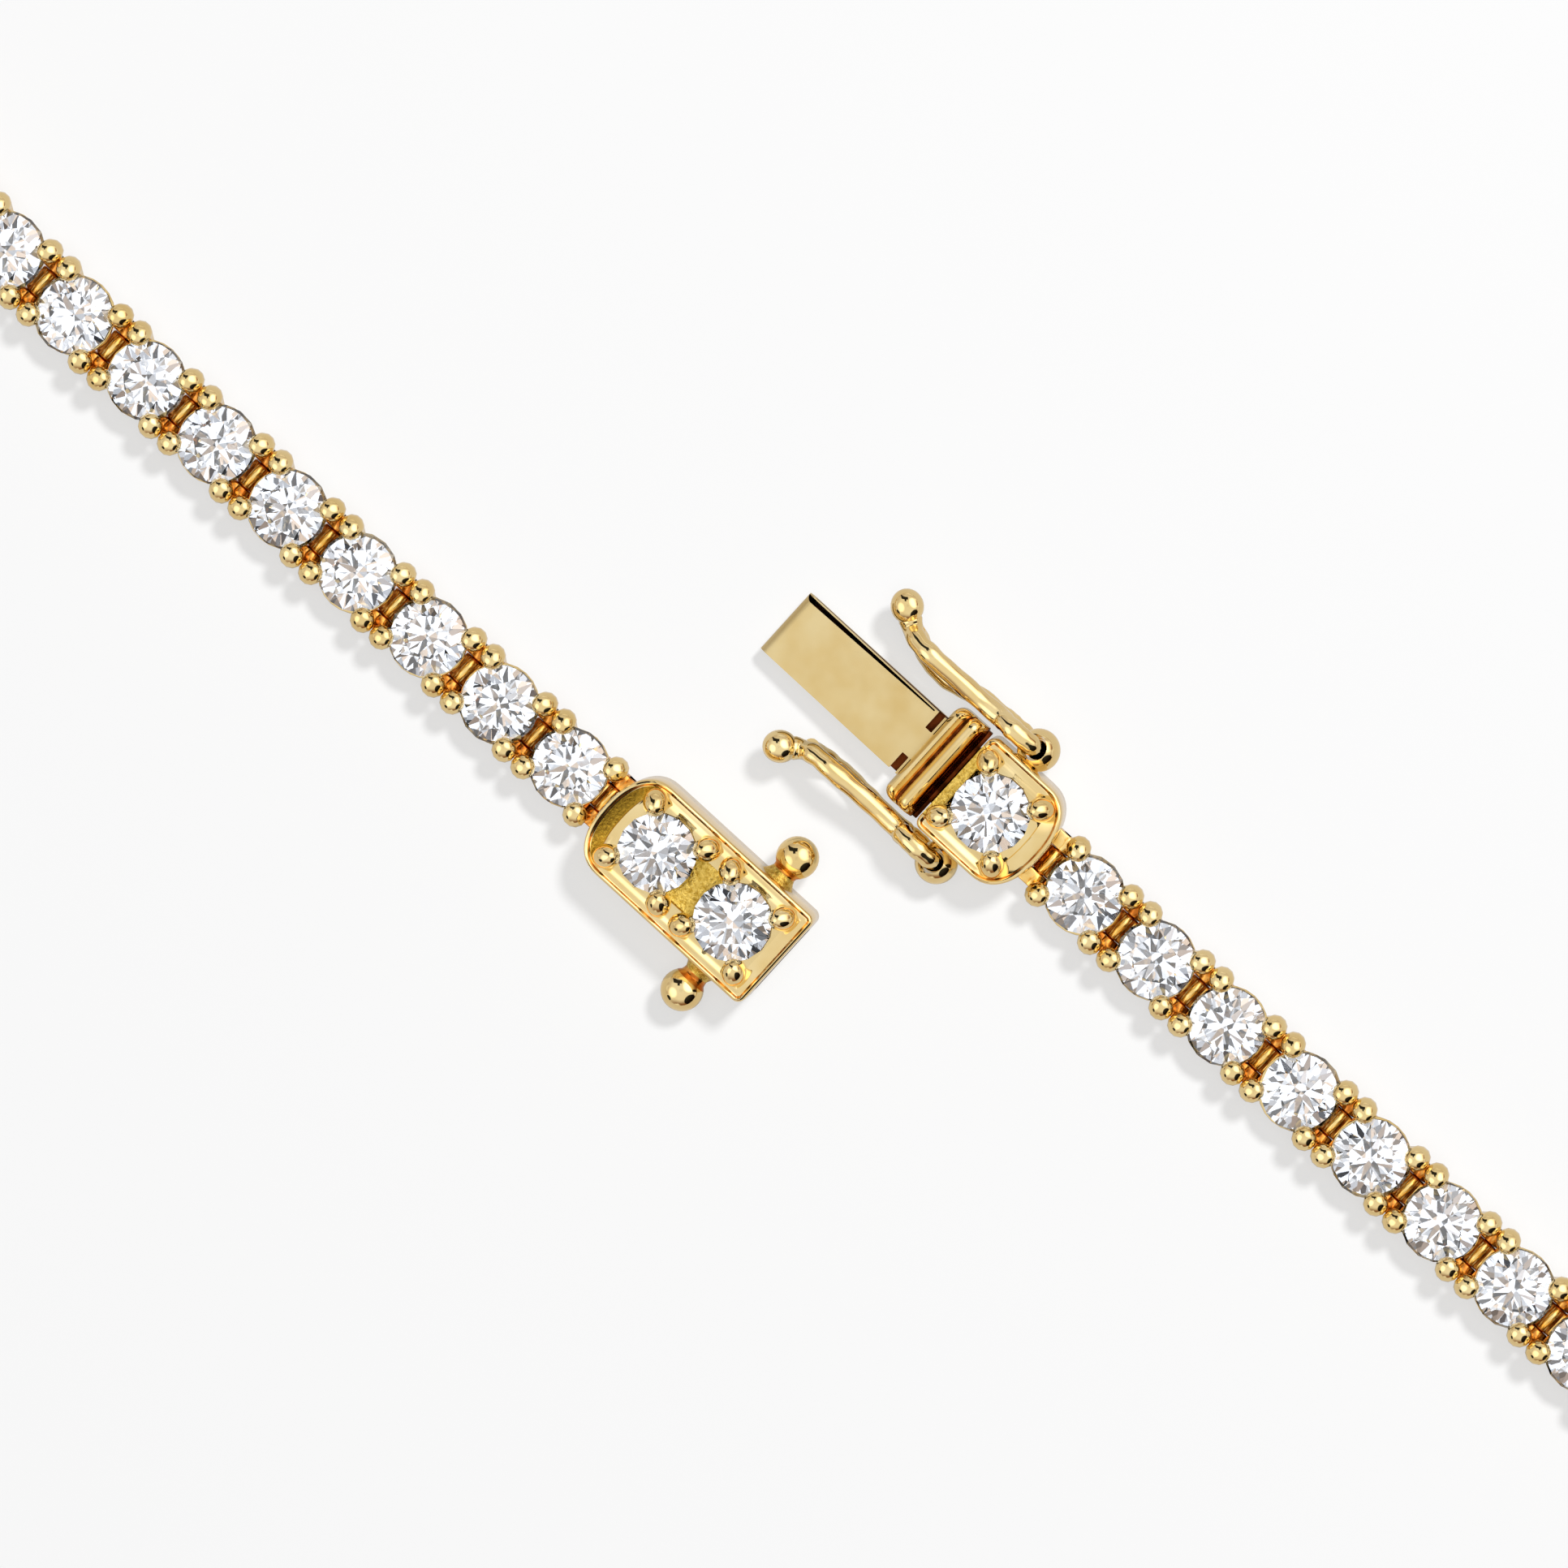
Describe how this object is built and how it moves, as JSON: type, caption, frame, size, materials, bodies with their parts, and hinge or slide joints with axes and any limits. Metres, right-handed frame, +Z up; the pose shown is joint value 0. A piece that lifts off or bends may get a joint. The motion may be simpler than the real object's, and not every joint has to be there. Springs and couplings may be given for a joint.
{
  "type": "tennis necklace",
  "caption": "Tennis necklace of round stones in pronged yellow-metal settings, lying as an open oval loop, with a box clasp, folded spring tongue and hinged figure-eight safety catches.",
  "frame": {"origin": "centre of the loop's bounding box, on the surface that the necklace lies on", "axes": "+X along the clasp, from its box towards its head, and along the loop's long side; +Y across the loop, from the clasp side to the far side; +Z up"},
  "size_m": [0.1598, 0.0912, 0.0035],
  "materials": {
    "gold": "cast yellow gold, high polish, warm between the links",
    "gold_sheet": "rolled yellow gold sheet, soft polish",
    "gold_wire": "drawn yellow gold wire, high polish",
    "stone": "clear colourless brilliant-cut stone"
  },
  "bodies": {
    "necklace": {"box_shell": "gold", "box_stone_back": "stone", "box_stone_front": "stone", "spring_tongue": "gold_sheet", "clasp_head": "gold", "head_stone": "stone", "strand_left": "gold", "strand_right": "gold"},
    "catch_left": {"safety_catch_left": "gold_wire"},
    "catch_right": {"safety_catch_right": "gold_wire"}
  },
  "joints": [
    {"name": "catch_left_swing", "type": "hinge", "parent": "necklace", "child": "catch_left", "pos_m": [0.00743, -0.02927, 0.00145], "axis": [0, 1, 0], "range_deg": [0, 105]},
    {"name": "catch_right_swing", "type": "hinge", "parent": "necklace", "child": "catch_right", "pos_m": [0.00743, -0.03492, 0.00145], "axis": [0, 1, 0], "range_deg": [0, 105]}
  ]
}
